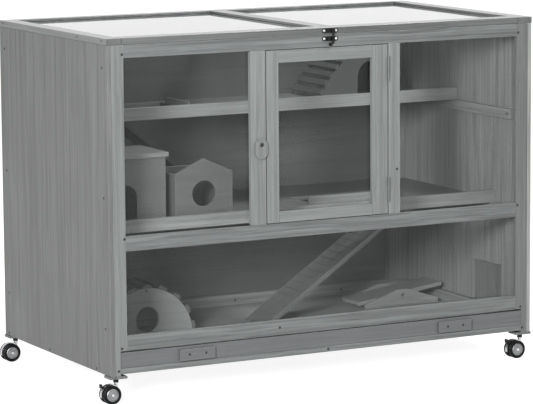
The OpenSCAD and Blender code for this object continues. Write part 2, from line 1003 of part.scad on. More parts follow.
// Swivel fork in its own frame: swivel axis on Z, axle behind it along Y
module caster_fork(brake) {
    axle_x = -caster_trail;
    axle_half = wheel_in + wheel_w + 0.8;
    color(bright_metal)
        difference() {
            union() {
                translate([0, 0, 24])
                    cylinder(r = boss_r, h = socket_top - 24);
                rod_y(axle_x, -fork_half, wheel_r, hood_r - 8, 2 * fork_half);
                intersection() {
                    rod_y(axle_x, -fork_half, wheel_r, hood_r, 2 * fork_half);
                    board(axle_x - hood_r, 0, -fork_half, fork_half, wheel_r - 6,
                        wheel_r + hood_r);
                }
                rod_y(axle_x, -axle_half, wheel_r, caster_axle_r, 2 * axle_half);
            }
            translate([0, 0, stem_end - 1])
                cylinder(r = stem_r + caster_clear, h = 30);
            if (brake)
                board(brake_at[0] - 16, brake_at[0] + 5.5, -2.8, 2.8, brake_at[1] - 6, 60);
        }
    if (brake)
        color(bright_metal)
            rod_y(brake_at[0], -3.4, brake_at[1], brake_pin_r, 6.8);
}

// Two wheels on the fork's axle, one each side of it, joined by a sleeve-free axle
module caster_wheels() {
    dish_r = 14.5;
    dish = 2;
    color(tyre_black)
        for (side = [0, 1])
            mirror([0, side, 0])
                difference() {
                    rod_y(-caster_trail, wheel_in, wheel_r, wheel_r, wheel_w);
                    rod_y(-caster_trail, wheel_in + wheel_w - dish, wheel_r, dish_r, dish + 1);
                    rod_y(-caster_trail, 0, wheel_r, caster_axle_r + caster_clear, 40);
                }
}

// Brake lever: an eye on its pin and a tab behind the hood
module brake() {
    color(black_metal)
        difference() {
            union() {
                rod_y(brake_at[0], -2.4, brake_at[1], 3.6, 4.8);
                board(brake_at[0] - 11, brake_at[0], -2.4, 2.4, brake_at[1], brake_at[1] + 3);
                board(brake_at[0] - 15, brake_at[0] - 11, -5, 5, brake_at[1],
                    brake_at[1] + 9);
            }
            rod_y(brake_at[0], -5, brake_at[1], brake_pin_r + caster_clear, 10);
        }
}

module at_caster(sx, sy) {
    translate([sx * caster_x, sy * caster_y, 0])
        children();
}

module caster_fork_fl() { at_caster(-1, -1) caster_fork(true); }
module caster_fork_fr() { at_caster(1, -1) caster_fork(true); }
module caster_fork_bl() { at_caster(-1, 1) caster_fork(false); }
module caster_fork_br() { at_caster(1, 1) caster_fork(false); }
module caster_wheels_fl() { at_caster(-1, -1) caster_wheels(); }
module caster_wheels_fr() { at_caster(1, -1) caster_wheels(); }
module caster_wheels_bl() { at_caster(-1, 1) caster_wheels(); }
module caster_wheels_br() { at_caster(1, 1) caster_wheels(); }
module brake_fl() { at_caster(-1, -1) brake(); }
module brake_fr() { at_caster(1, -1) brake(); }

// Screws of the cabinet: low round heads on the timber's faces
module frame_screws() {
    head_r = 3.2;
    head_t = 0.8;
    front = [
        [-547, 131], [547, 131], [-556, 78], [552, 78], [0, 77], [-537, 387],
        [537, 387], [-537, 815], [537, 815], [-132, 142], [192, 501],
    ];
    side_y = [-285, 285];
    side_z = [175, 482, 784];
    base_y = [-230, 38, 290];
    color(black_metal) {
        for (p = front)
            rod_y(p[0], y_front - head_t, p[1], head_r, head_t);
        for (side = [0, 1])
            mirror([side, 0, 0]) {
                for (y = side_y)
                    for (z = side_z)
                        rod_x(x_out, y, z, head_r, head_t);
                for (y = base_y)
                    rod_x(x_out, y, 73, head_r, head_t);
            }
        translate([door_button[0], y_front, door_button[1]])
            pivot_screw();
        translate([x_out + gap + hatch_t, hatch_button_at[0], hatch_button_at[1]])
            rotate([0, 0, 90])
                pivot_screw();
    }
}

// A turn button's screw, standing on a face at Y = 0 and pointing to -Y
module pivot_screw() {
    rod_y(0, -button_t - 2 * gap, 0, button_screw_r, button_t + 2 * gap);
    rod_y(0, -button_t - 2 * gap - 1.6, 0, 5, 1.6);
}

side_panel_left();
side_panel_right();
back_panel();
front_post_left();
front_post_right();
front_rails();
door_jambs();
back_posts();
base_rails();
tray_runners();
windows_upper();
window_lower();
hatch_packer();
mid_floor();
mid_floor_lip();
mid_floor_supports();
upper_shelf();
shelf_lip();
shelf_cleats();
ramp_lower();
ramp_upper();
house_a();
house_a_roof();
house_b();
house_c();
house_c_treads();
hut_ends();
hut_slats();
seesaw_base();
seesaw_axle();
fixed_hinges();
latch_keeper();
caster_blocks();
caster_stems();
frame_screws();
door_frame();
door_pane();
door_hinges();
turn_button();
lid_frame();
lid_panels();
lid_hardware();
latch_hook();
tray_board();
tray_front();
tray_grips();
seesaw_plank();
hatch_door();
hatch_hinges();
hatch_button();
caster_fork_fl();
caster_fork_fr();
caster_fork_bl();
caster_fork_br();
caster_wheels_fl();
caster_wheels_fr();
caster_wheels_bl();
caster_wheels_br();
brake_fl();
brake_fr();
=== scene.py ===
"""Looks of the timber small-animal cage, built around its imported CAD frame. Metres, +Z up."""

import math
import random

import bmesh
import bpy
from mathutils import Matrix, Vector


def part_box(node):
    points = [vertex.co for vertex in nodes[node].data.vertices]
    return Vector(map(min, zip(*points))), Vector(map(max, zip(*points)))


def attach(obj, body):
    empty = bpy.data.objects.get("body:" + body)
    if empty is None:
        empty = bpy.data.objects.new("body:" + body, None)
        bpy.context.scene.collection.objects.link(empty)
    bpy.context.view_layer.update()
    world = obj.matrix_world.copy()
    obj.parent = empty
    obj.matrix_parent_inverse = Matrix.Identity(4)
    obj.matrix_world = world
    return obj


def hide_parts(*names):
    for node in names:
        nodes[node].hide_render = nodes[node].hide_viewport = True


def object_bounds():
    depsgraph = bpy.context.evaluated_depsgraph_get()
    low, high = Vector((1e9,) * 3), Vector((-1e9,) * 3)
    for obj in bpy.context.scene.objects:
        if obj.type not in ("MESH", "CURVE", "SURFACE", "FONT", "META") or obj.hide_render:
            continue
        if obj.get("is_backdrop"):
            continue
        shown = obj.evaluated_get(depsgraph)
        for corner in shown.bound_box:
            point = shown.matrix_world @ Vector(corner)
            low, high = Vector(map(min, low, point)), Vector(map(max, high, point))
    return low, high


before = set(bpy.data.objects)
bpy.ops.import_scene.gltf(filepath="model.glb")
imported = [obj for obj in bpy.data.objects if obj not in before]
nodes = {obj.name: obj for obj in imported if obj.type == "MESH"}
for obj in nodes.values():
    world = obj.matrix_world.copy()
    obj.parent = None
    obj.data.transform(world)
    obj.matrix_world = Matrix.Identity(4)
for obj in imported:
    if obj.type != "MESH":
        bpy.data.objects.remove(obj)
cad_low, cad_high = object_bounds()
MM = 0.001
SEED = 11
random.seed(SEED)


# ---------------------------------------------------------------- node graphs

class Graph:
    """Builds one material's node tree. A value is a number, a colour or a socket."""

    def __init__(self, name):
        self.material = bpy.data.materials.new(name)
        self.material.use_nodes = True
        self.tree = self.material.node_tree
        self.tree.nodes.clear()

    def add(self, kind, inputs=None, **settings):
        node = self.tree.nodes.new("ShaderNode" + kind)
        for key, value in settings.items():
            setattr(node, key, value)
        for key, value in (inputs or {}).items():
            self.put(node.inputs[key], value)
        return node

    def put(self, socket, value):
        if isinstance(value, bpy.types.NodeSocket):
            self.tree.links.new(value, socket)
        elif isinstance(value, bpy.types.Node):
            self.tree.links.new(value.outputs[0], socket)
        else:
            socket.default_value = value

    def math(self, operation, a, b=0.5, clamp=False):
        node = self.add("Math", {0: a, 1: b}, operation=operation, use_clamp=clamp)
        return node.outputs[0]

    def vector(self, operation, a, b):
        node = self.add("VectorMath", {0: a, 1: b}, operation=operation)
        return node.outputs["Value" if operation == "DOT_PRODUCT" else "Vector"]

    def scaled(self, vector, factor):
        node = self.add("VectorMath", {0: vector, "Scale": factor}, operation="SCALE")
        return node.outputs["Vector"]

    def grey(self, tone):
        return self.add("CombineColor", {0: tone, 1: tone, 2: tone}).outputs[0]

    def corner(self, radius, normal):
        """How far a rounded normal turns from the face's own: 0 on a flat, more at a corner."""
        rounded = self.add("Bevel", {"Radius": radius}, samples=4).outputs[0]
        return self.math("SUBTRACT", 1.0, self.vector("DOT_PRODUCT", rounded, normal))

    def mix(self, factor, a, b, blend="MIX"):
        node = self.add("Mix", data_type="RGBA", blend_type=blend)
        self.put(node.inputs[0], factor)
        self.put(node.inputs[6], a)
        self.put(node.inputs[7], b)
        return node.outputs[2]

    def mix_vector(self, factor, a, b):
        node = self.add("Mix", data_type="VECTOR")
        self.put(node.inputs[0], factor)
        self.put(node.inputs[4], a)
        self.put(node.inputs[5], b)
        return node.outputs[1]

    def span(self, value, low, high, to_low=0.0, to_high=1.0):
        """The value's range low to high, spread over to_low to to_high and held there."""
        node = self.add("MapRange", {
            "Value": value, "From Min": low, "From Max": high,
            "To Min": to_low, "To Max": to_high,
        }, clamp=True)
        return node.outputs[0]

    def noise(self, where, scale, detail=2.0, rough=0.5, warp=0.0):
        node = self.add("TexNoise", {
            "Vector": where, "Scale": scale, "Detail": detail,
            "Roughness": rough, "Distortion": warp,
        })
        return node.outputs[0]

    def bump(self, height, strength, distance):
        return self.add("Bump", {
            "Height": height, "Strength": strength, "Distance": distance,
        }).outputs[0]

    def finish(self, shader):
        """Wires the shader to the output and gives the material."""
        out = self.add("OutputMaterial")
        self.tree.links.new(shader.outputs[0], out.inputs["Surface"])
        return self.material


# ---------------------------------------------------------------- materials

# Noise scales are per metre, and lengths are in metres.
# The grain's scale along a board against that across it, and how far a streak strays
LONG = 0.012
WANDER = 0.018
STRETCH = {"x": (LONG, 1, 1), "y": (1, LONG, 1), "z": (1, 1, LONG)}
# The most that a separate board's pattern is shifted, so that no two boards are alike
BOARD_SHIFT = (3.1, 7.3, 5.7)
# How closely the year rings lie
RING_CROWDING = 95.0


def painted_wood(name, colour, grain="x", other=None, mask=None, turn=0.0,
                 streak=1.0, gloss=0.52, relief=0.35, specular=0.4, joint_dust_and_shade=1.0):
    """Grey-washed timber. The grain runs along one axis, or along a second one where mask is 1.

    turn leans the grain round Y, streak is its contrast, gloss the roughness, relief the
    bump's strength, and the last argument how far the joints darken, with dust and painted shade.
    """
    g = Graph(name)
    place = g.add("TexCoord").outputs["Object"]
    geometry = g.add("NewGeometry")
    island = geometry.outputs["Random Per Island"]
    shift = g.scaled(BOARD_SHIFT, island)
    turned = place
    if turn:
        turned = g.add("Mapping", {"Vector": place, "Rotation": (0, turn, 0)}).outputs[0]
    bend = g.math("SUBTRACT", g.noise(turned, 3.2, 2.0, 0.5), 0.5)
    bend = g.math("MULTIPLY", bend, WANDER)
    wander = g.add("CombineXYZ", {"X": bend, "Y": bend, "Z": bend}).outputs[0]
    moved = g.vector("ADD", g.vector("ADD", turned, shift), wander)
    along = g.vector("MULTIPLY", moved, STRETCH[grain])
    if other:
        along = g.mix_vector(mask(g, place), along, g.vector("MULTIPLY", moved, STRETCH[other]))
    broad = g.noise(along, 60, 3.0, 0.55)
    rings = g.math("SINE", g.math("MULTIPLY", g.noise(along, 9, 1.0, 0.4), RING_CROWDING))
    rings = g.math("ADD", g.math("MULTIPLY", rings, 0.5), 0.5)
    rings = g.math("POWER", rings, 2.2)
    fine = g.noise(along, 170, 4.0, 0.68)
    fibre = g.noise(along, 620, 2.0, 0.6)
    tone = g.math("ADD", g.math("MULTIPLY", broad, 0.20 * streak),
                  g.math("MULTIPLY", fine, 0.56 * streak))
    tone = g.math("ADD", tone, g.math("MULTIPLY", fibre, 0.24))
    tone = g.math("SUBTRACT", tone, g.math("MULTIPLY", rings, 0.05 * streak))
    middle = 0.38 * streak + 0.12 - 0.015 * streak
    shade = g.span(tone, middle - 0.15, middle + 0.15)
    dark = tuple(c * (1 - 0.44 * streak) for c in colour) + (1,)
    light = tuple(c * (1 + 0.42 * streak) for c in colour) + (1,)
    base = g.mix(shade, dark, light)
    # each board takes the wash a little differently, in broad patches
    patch = g.noise(place, 2.6, 2.0, 0.5)
    tint = g.math("ADD", g.span(island, 0, 1, 0.965, 1.035),
                  g.span(patch, 0.3, 0.7, -0.04, 0.04))
    base = g.mix(1.0, base, g.grey(tint), "MULTIPLY")
    # rubbed corners, where the wash has thinned to paler timber
    corner = g.corner(1.6 * MM, geometry.outputs["Normal"])
    worn = g.math("MULTIPLY", g.span(corner, 0.02, 0.25),
                  g.span(g.noise(place, 55, 3.0, 0.6), 0.42, 0.68), clamp=True)
    worn = g.math("MULTIPLY", worn, 0.35)
    pale = tuple(min(c * lift, 1) for c, lift in zip(colour, (1.75, 1.68, 1.58))) + (1,)
    base = g.mix(worn, base, pale)
    # dust and painted shade along the edges and joints, in patches: darker where boards meet
    dust_and_shade = g.math("MULTIPLY", g.span(corner, 0.05, 0.3),
                  g.span(g.noise(place, 31, 2.0, 0.5), 0.35, 0.6, 0.75 * joint_dust_and_shade, 0.2 * joint_dust_and_shade))
    base = g.mix(dust_and_shade, base, tuple(c * 0.3 for c in colour) + (1,))
    height = g.math("ADD", g.math("MULTIPLY", fine, 0.5), g.math("MULTIPLY", fibre, 0.3))
    height = g.math("SUBTRACT", height, g.math("MULTIPLY", rings, 0.12))
    shader = g.add("BsdfPrincipled", {
        "Base Color": base,
        "Roughness": g.span(tone, middle - 0.2, middle + 0.2, gloss - 0.08, gloss + 0.1),
        "Normal": g.bump(height, relief, 0.5 * MM),
    })
    shader.inputs["Specular IOR Level"].default_value = specular
    return g.finish(shader)


def clear_sheet(name, gloss, roughness, haze):
    """Clear acrylic: see-through, with a reflection that grows at a grazing angle.

    gloss scales the reflection, and haze is the share of the thin film of wipe marks.
    """
    g = Graph(name)
    place = g.add("TexCoord").outputs["Object"]
    smear = g.noise(g.vector("MULTIPLY", place, (1.0, 1.0, 0.35)), 14, 4.0, 0.6, 0.6)
    wave = g.noise(place, 5, 1.0, 0.5)
    normal = g.bump(wave, 0.15, 1.0 * MM)
    fresnel = g.add("Fresnel", {"IOR": 1.49, "Normal": normal}).outputs[0]
    glass = g.add("BsdfTransparent", {"Color": (0.966, 0.972, 0.970, 1)})
    shine = g.add("BsdfGlossy", {
        "Color": (1, 1, 1, 1),
        "Roughness": g.span(smear, 0.35, 0.75, roughness, roughness + 0.05),
        "Normal": normal,
    })
    veil = g.add("BsdfDiffuse", {"Color": (0.62, 0.65, 0.66, 1)})
    clean = g.add("MixShader", {0: g.math("MULTIPLY", fresnel, gloss, clamp=True),
                                1: glass.outputs[0], 2: shine.outputs[0]})
    film = g.span(smear, 0.35, 0.8, haze * 0.5, haze * 1.6)
    both = g.add("MixShader", {0: film, 1: clean.outputs[0], 2: veil.outputs[0]})
    return g.finish(both)


def metal(name, colour, roughness, metallic=1.0, wear=None, specular=0.5):
    """Metal with fine scratches. wear is the brighter colour of the rubbed corners."""
    g = Graph(name)
    place = g.add("TexCoord").outputs["Object"]
    geometry = g.add("NewGeometry")
    scratch = g.noise(place, 900, 4.0, 0.65, 0.3)
    blotch = g.noise(place, 60, 3.0, 0.55)
    dark = tuple(c * 0.82 for c in colour) + (1,)
    light = tuple(min(c * 1.12, 1) for c in colour) + (1,)
    base = g.mix(g.span(blotch, 0.3, 0.7), dark, light)
    if wear:
        corner = g.corner(0.7 * MM, geometry.outputs["Normal"])
        rubbed = g.math("MULTIPLY", g.span(corner, 0.02, 0.2), g.span(scratch, 0.35, 0.6))
        base = g.mix(g.math("MULTIPLY", rubbed, 0.6), base, wear + (1,))
    shader = g.add("BsdfPrincipled", {
        "Base Color": base,
        "Metallic": metallic,
        "Roughness": g.span(g.math("ADD", g.math("MULTIPLY", scratch, 0.6),
                                   g.math("MULTIPLY", blotch, 0.4)),
                            0.3, 0.7, roughness * 0.75, roughness * 1.35),
        "Normal": g.bump(scratch, 0.18, 0.12 * MM),
    })
    shader.inputs["Specular IOR Level"].default_value = specular
    return g.finish(shader)


def rubber(name):
    """Dark wheel tread with a fine moulded texture and slightly duller patches."""
    g = Graph(name)
    place = g.add("TexCoord").outputs["Object"]
    pores = g.noise(place, 1400, 3.0, 0.6)
    blotch = g.noise(place, 70, 3.0, 0.6)
    base = g.mix(g.span(blotch, 0.45, 0.8, 0.0, 0.5), (0.0012, 0.0012, 0.0014, 1),
                 (0.005, 0.005, 0.005, 1))
    shader = g.add("BsdfPrincipled", {
        "Base Color": base,
        "Roughness": g.span(blotch, 0.3, 0.7, 0.36, 0.58),
        "Normal": g.bump(pores, 0.3, 0.15 * MM),
    })
    shader.inputs["Specular IOR Level"].default_value = 0.12
    return g.finish(shader)


def studio_floor(name):
    """Pale floor, lit mostly by its own glow, so that only a faint shadow shows on it."""
    g = Graph(name)
    place = g.add("TexCoord").outputs["Object"]
    tone = g.span(g.noise(place, 0.7, 2.0, 0.5), 0.3, 0.7, 0.985, 1.0)
    shader = g.add("BsdfPrincipled", {
        "Base Color": g.mix(1.0, (0.25, 0.25, 0.25, 1), g.grey(tone), "MULTIPLY"),
        "Roughness": 0.9,
        "Emission Color": (1, 1, 1, 1),
        "Emission Strength": 0.86,
    })
    shader.inputs["Specular IOR Level"].default_value = 0.0
    return g.finish(shader)


# ---------------------------------------------------------------- measures from the frame

def middle_of(box):
    """Centre of a box, given as its lowest and highest corner."""
    return (box[0] + box[1]) / 2


side_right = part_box("side_panel_right")
back_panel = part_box("back_panel")
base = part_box("base_rails")
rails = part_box("front_rails")
door_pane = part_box("door_pane")
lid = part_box("lid_frame")
lid_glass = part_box("lid_panels")
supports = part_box("mid_floor_supports")
# How far the clear sheets reach into their frames
PANE_LAP = 9 * MM
LID_LAP = 9.8 * MM
# Depth of the back base rail, and a little more than that of the side ones
BACK_RAIL_DEPTH = 12 * MM
SIDE_RAIL_DEPTH = 16 * MM
# Height of the cleats that stand on the middle floor's upright boards, with their seam
CLEAT_HEIGHT = 24.6 * MM


def between(g, value, low, high):
    """1 where the value lies between low and high, otherwise 0."""
    return g.math("MULTIPLY", g.math("GREATER_THAN", value, low),
                  g.math("LESS_THAN", value, high))


def axes(g, place):
    return g.add("SeparateXYZ", {0: place}).outputs


def door_rail_mask(g, place):
    """1 on the door's rails, 0 on its stiles."""
    return between(g, axes(g, place)[0], door_pane[0].x + PANE_LAP, door_pane[1].x - PANE_LAP)


def lid_cross_mask(g, place):
    """1 on the lid's front and back bars, 0 on its side and centre bars."""
    x, y, _z = axes(g, place)
    inside_y = between(g, y, lid_glass[0].y + LID_LAP, lid_glass[1].y - LID_LAP)
    inside_x = between(g, x, lid_glass[0].x + LID_LAP, lid_glass[1].x - LID_LAP)
    return g.math("MULTIPLY", g.math("SUBTRACT", 1.0, inside_y), inside_x)


def base_back_mask(g, place):
    """1 on the base rail across the back, 0 on the side ones."""
    return between(g, axes(g, place)[0], base[0].x + SIDE_RAIL_DEPTH,
                   base[1].x - SIDE_RAIL_DEPTH)


def upright_mask(g, place):
    """1 on the upright boards under the middle floor's cleats."""
    return g.math("LESS_THAN", axes(g, place)[2], supports[1].z - CLEAT_HEIGHT)


def ramp_turn(node):
    """The ramp's slope."""
    low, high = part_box(node)
    return math.atan2(high.z - low.z, high.x - low.x)


# Base colours, linear: each was set so that its surface has the photograph's tone here.
# Some are lighter or darker copies of one timber, with light or shade painted into the colour, as
# noted at each.
FRONT = (0.078, 0.083, 0.0815)
# Right front post: the posts' timber darkened, painted shade for the light falling off towards
# the right
FRONT_RIGHT_SHADED = (0.0605, 0.0645, 0.063)
RAIL = (0.0645, 0.0685, 0.068)
DOOR = (0.088, 0.094, 0.092)
LID = (0.051, 0.0535, 0.0535)
SIDE = (0.0595, 0.0615, 0.0603)
# Inside of the right panel, back posts and floor supports: the panels' timber lightened, painted
# light for the light reaching inside
WALL_LIT = (0.128, 0.133, 0.130)
# Hatch door: darker than the inside wall, painted shade of its recess
HATCH_SHADED = (0.085, 0.089, 0.087)
BACK = (0.061, 0.0645, 0.0632)
FLOOR = (0.080, 0.0835, 0.0815)
# Tray floor: the floor boards' timber lightened, painted light for the light falling on it
TRAY_FLOOR_LIT = (0.195, 0.203, 0.199)
INSIDE = (0.063, 0.0655, 0.064)
RAMP = (0.084, 0.0872, 0.0855)
HUT = (0.165, 0.172, 0.168)
ROOF = (0.098, 0.102, 0.100)
SHELF_HOUSE = (0.063, 0.0657, 0.0645)
# Lips, base rails and seesaw: the front timber lightened, painted light for the light reaching
# inside
LIP_LIT = (0.137, 0.142, 0.139)
TRAY = (0.0555, 0.0572, 0.0592)

wood_rail = painted_wood("wood_front_rails", RAIL, "x", streak=1.1)
wood_post = painted_wood("wood_front_posts", FRONT, "z", streak=0.8)
wood_post_right_shaded = painted_wood("wood_right_post_shaded", FRONT_RIGHT_SHADED, "z", streak=0.8)
wood_jamb = painted_wood("wood_door_jambs", DOOR, "z", streak=0.8)
wood_door = painted_wood("wood_door", DOOR, "z", "x", door_rail_mask, streak=0.8)
wood_lid = painted_wood("wood_lid", LID, "y", "x", lid_cross_mask, gloss=0.16, relief=0.10,
                        specular=0.6)
wood_side = painted_wood("wood_side_panels", SIDE, "z")
wood_wall_lit = painted_wood("wood_side_panel_right_lit", WALL_LIT, "z")
wood_hatch_shaded = painted_wood("wood_hatch_shaded", HATCH_SHADED, "z")
wood_back = painted_wood("wood_back_panel", BACK, "x", streak=0.8)
wood_lip_lit = painted_wood("wood_lips_lit", LIP_LIT, "x", streak=0.8)
wood_in_x = painted_wood("wood_inside_across", INSIDE, "x", streak=0.7)
wood_in_y = painted_wood("wood_inside_deep", INSIDE, "y", streak=0.8)
wood_floor = painted_wood("wood_floor_boards", FLOOR, "x", streak=0.7)
wood_tray_floor_lit = painted_wood("wood_tray_board_lit", TRAY_FLOOR_LIT, "x", streak=0.7)
wood_roof = painted_wood("wood_house_roof", ROOF, "x", streak=0.8)
wood_hut = painted_wood("wood_hut_ends", HUT, "x", streak=0.7)
wood_shelf_house = painted_wood("wood_shelf_house", SHELF_HOUSE, "x", streak=0.7)
wood_base_lit = painted_wood("wood_base_rails_lit", LIP_LIT, "y", "x", base_back_mask)
wood_support_lit = painted_wood("wood_floor_supports_lit", WALL_LIT, "y", "z", upright_mask)
wood_ramp_low = painted_wood("wood_lower_ramp", RAMP, "x", turn=ramp_turn("ramp_lower"),
                             joint_dust_and_shade=0.25)
wood_ramp_up = painted_wood("wood_upper_ramp", INSIDE, "x", turn=-ramp_turn("ramp_upper"),
                            joint_dust_and_shade=0.25)
wood_tray = painted_wood("wood_tray_front", TRAY, "x", streak=0.6, gloss=0.42)
pane_front = clear_sheet("acrylic_front", 0.22, 0.03, 0.004)
pane_lid = clear_sheet("acrylic_lid", 1.35, 0.03, 0.02)
steel_bright = metal("steel_bright", (0.50, 0.51, 0.52), 0.36)
steel_caster = metal("steel_caster_chrome", (0.55, 0.56, 0.57), 0.18)
steel_hub = metal("steel_hub_cap", (0.24, 0.245, 0.25), 0.42)
steel_painted = metal("steel_hinge_painted", (0.055, 0.058, 0.058), 0.5, 0.1,
                      wear=(0.12, 0.125, 0.125))
steel_black = metal("steel_black", (0.004, 0.004, 0.0045), 0.42, 0.0, wear=(0.03, 0.03, 0.032),
                    specular=0.16)
steel_screw = metal("steel_screw_dark", (0.018, 0.018, 0.02), 0.42, 0.5,
                    wear=(0.07, 0.07, 0.072))
tyre = rubber("rubber_tyre")

LOOKS = {
    "side_panel_left": wood_side, "side_panel_right": wood_wall_lit, "back_panel": wood_back,
    "front_post_left": wood_post, "front_post_right": wood_post_right_shaded,
    "front_rails": wood_rail, "door_jambs": wood_jamb, "back_posts": wood_wall_lit,
    "base_rails": wood_base_lit, "tray_runners": wood_in_y, "windows_upper": pane_front,
    "window_lower": pane_front, "hatch_packer": wood_side, "mid_floor": wood_floor,
    "mid_floor_lip": wood_lip_lit, "mid_floor_supports": wood_support_lit,
    "upper_shelf": wood_floor, "shelf_lip": wood_lip_lit, "shelf_cleats": wood_support_lit,
    "ramp_lower": wood_ramp_low, "ramp_upper": wood_ramp_up, "house_a": wood_in_x,
    "house_a_roof": wood_roof, "house_b": wood_in_x, "house_c": wood_shelf_house,
    "house_c_treads": wood_in_y, "hut_ends": wood_hut, "seesaw_base": wood_lip_lit,
    "seesaw_axle": steel_bright, "fixed_hinges": steel_painted, "latch_keeper": steel_black,
    "caster_blocks": wood_side, "caster_stems": steel_black, "door_frame": wood_door,
    "door_pane": pane_front, "door_hinges": steel_painted, "turn_button": wood_post,
    "lid_frame": wood_lid, "lid_panels": pane_lid, "lid_hardware": steel_black,
    "latch_hook": steel_black, "tray_board": wood_tray_floor_lit, "tray_front": wood_tray,
    "tray_grips": wood_tray, "seesaw_plank": wood_lip_lit, "hatch_door": wood_hatch_shaded,
    "hatch_hinges": steel_painted, "hatch_button": wood_side,
    "caster_fork_fl": steel_caster, "caster_fork_fr": steel_caster,
    "caster_fork_bl": steel_caster, "caster_fork_br": steel_caster,
    "brake_fl": steel_black, "brake_fr": steel_black,
}
WOODS = {m.name for m in LOOKS.values() if m.name.startswith("wood")}
# Sheet metal, and clear sheets
THIN = {"latch_keeper", "lid_hardware", "latch_hook", "fixed_hinges", "door_hinges",
        "hatch_hinges", "brake_fl", "brake_fr"}
CLEAR = {"windows_upper", "window_lower", "door_pane", "lid_panels"}
WOOD_EDGE = 0.9 * MM
THIN_EDGE = 0.25 * MM
CLEAR_EDGE = 0.3 * MM
# The CAD mesh's corners are split: points this close are one
SAME_POINT = 0.002 * MM


def soften(obj, width, segments=2):
    """Joins the CAD mesh's split corners and flat faces, then rounds its edges."""
    weld = obj.modifiers.new("weld", "WELD")
    weld.merge_threshold = SAME_POINT
    flat = obj.modifiers.new("whole_faces", "DECIMATE")
    flat.decimate_type = "DISSOLVE"
    flat.angle_limit = math.radians(0.5)
    bevel = obj.modifiers.new("rounded_edges", "BEVEL")
    bevel.width = width
    bevel.segments = segments
    bevel.limit_method = "ANGLE"
    bevel.angle_limit = math.radians(35)
    bevel.use_clamp_overlap = True
    bevel.miter_outer = "MITER_ARC"
    even = obj.modifiers.new("even_shading", "WEIGHTED_NORMAL")
    even.mode = "FACE_AREA"
    even.weight = 100
    even.keep_sharp = False


for name, look in LOOKS.items():
    obj = nodes[name]
    if not obj.material_slots:
        obj.data.materials.append(look)
    for slot in obj.material_slots:
        slot.material = look
    if look.name in WOODS:
        soften(obj, WOOD_EDGE)
    elif name in THIN:
        soften(obj, THIN_EDGE, 1)
    elif name in CLEAR:
        soften(obj, CLEAR_EDGE, 1)


# ---------------------------------------------------------------- added pieces

def make_piece(name, mesh_builder, look, body, smooth=35):
    """A new object on a body. Edges sharper than smooth degrees stay sharp."""
    mesh = bpy.data.meshes.new(name)
    bm = bmesh.new()
    mesh_builder(bm)
    bmesh.ops.recalc_face_normals(bm, faces=bm.faces)
    bm.to_mesh(mesh)
    bm.free()
    mesh.shade_smooth()
    mesh.set_sharp_from_angle(angle=math.radians(smooth))
    obj = bpy.data.objects.new(name, mesh)
    bpy.context.scene.collection.objects.link(obj)
    mesh.materials.append(look)
    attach(obj, body)
    return obj


def turn_profile(bm, profile, matrix, segments, shape=None):
    """Turns (radius, height) points round Z. shape(x, y, z) may move a point along Z."""
    rings = []
    for radius, height in profile:
        if radius == 0:
            z = shape(0, 0, height) if shape else height
            rings.append([bm.verts.new(matrix @ Vector((0, 0, z)))])
            continue
        ring = []
        for i in range(segments):
            a = 2 * math.pi * i / segments
            x, y = radius * math.cos(a), radius * math.sin(a)
            z = shape(x, y, height) if shape else height
            ring.append(bm.verts.new(matrix @ Vector((x, y, z))))
        rings.append(ring)
    for lower, upper in zip(rings, rings[1:]):
        if len(lower) == 1 and len(upper) == 1:
            continue
        for i in range(segments):
            j = (i + 1) % segments
            if len(lower) == 1:
                bm.faces.new((lower[0], upper[j], upper[i]))
            elif len(upper) == 1:
                bm.faces.new((lower[i], lower[j], upper[0]))
            else:
                bm.faces.new((lower[i], lower[j], upper[j], upper[i]))
    if len(rings[0]) > 1:
        bm.faces.new(list(reversed(rings[0])))
    if len(rings[-1]) > 1:
        bm.faces.new(rings[-1])


def facing(point, direction, spin=0.0):
    """A matrix whose origin is point and whose +Z looks along direction."""
    turn = Vector(direction).to_track_quat("Z", "Y").to_matrix().to_4x4()
    return Matrix.Translation(point) @ turn @ Matrix.Rotation(spin, 4, "Z")


# Radii of the domed head's rings, as shares of its own radius
DOME = (0.96, 0.88, 0.76, 0.66, 0.60, 0.50, 0.38, 0.26, 0.17, 0.13, 0.06)


def add_screw(bm, point, direction, radius, height, sunk=0.0):
    """A pan head with a cross recess, standing on the face at point. Its shank goes sunk deep."""
    spin = random.uniform(0, math.pi)
    slot_half, slot_long = radius * 0.15, radius * 0.62

    def recess(x, y, z):
        in_slot = (abs(x) < slot_half and abs(y) < slot_long
                   or abs(y) < slot_half and abs(x) < slot_long)
        return z - height * 0.6 if in_slot and z > height * 0.5 else z

    profile = [(0, -sunk - 0.3 * MM), (radius * 0.5, -sunk - 0.3 * MM),
               (radius * 0.5, 0), (radius, 0), (radius, height * 0.35)]
    for step in DOME:
        profile.append((radius * step, height * (0.45 + 0.55 * (1 - step ** 2.4))))
    profile.append((0, height))
    turn_profile(bm, profile, facing(point, direction, spin), 32, recess)


def screw_set(name, screws, look, body):
    """One piece of many screws, each given by what add_screw takes."""
    def build(bm):
        for screw in screws:
            add_screw(bm, *screw)
    return make_piece(name, build, look, body)


def solids_of(node):
    """Lowest corner, highest corner and points of each separate solid of a CAD node."""
    bm = bmesh.new()
    bm.from_mesh(nodes[node].data)
    bmesh.ops.remove_doubles(bm, verts=bm.verts, dist=SAME_POINT)
    seen, solids = set(), []
    for start in bm.verts:
        if start in seen:
            continue
        stack, group = [start], []
        seen.add(start)
        while stack:
            vert = stack.pop()
            group.append(vert.co.copy())
            for edge in vert.link_edges:
                near = edge.other_vert(vert)
                if near not in seen:
                    seen.add(near)
                    stack.append(near)
        low = Vector([min(c[i] for c in group) for i in range(3)])
        high = Vector([max(c[i] for c in group) for i in range(3)])
        solids.append((low, high, group))
    bm.free()
    return solids


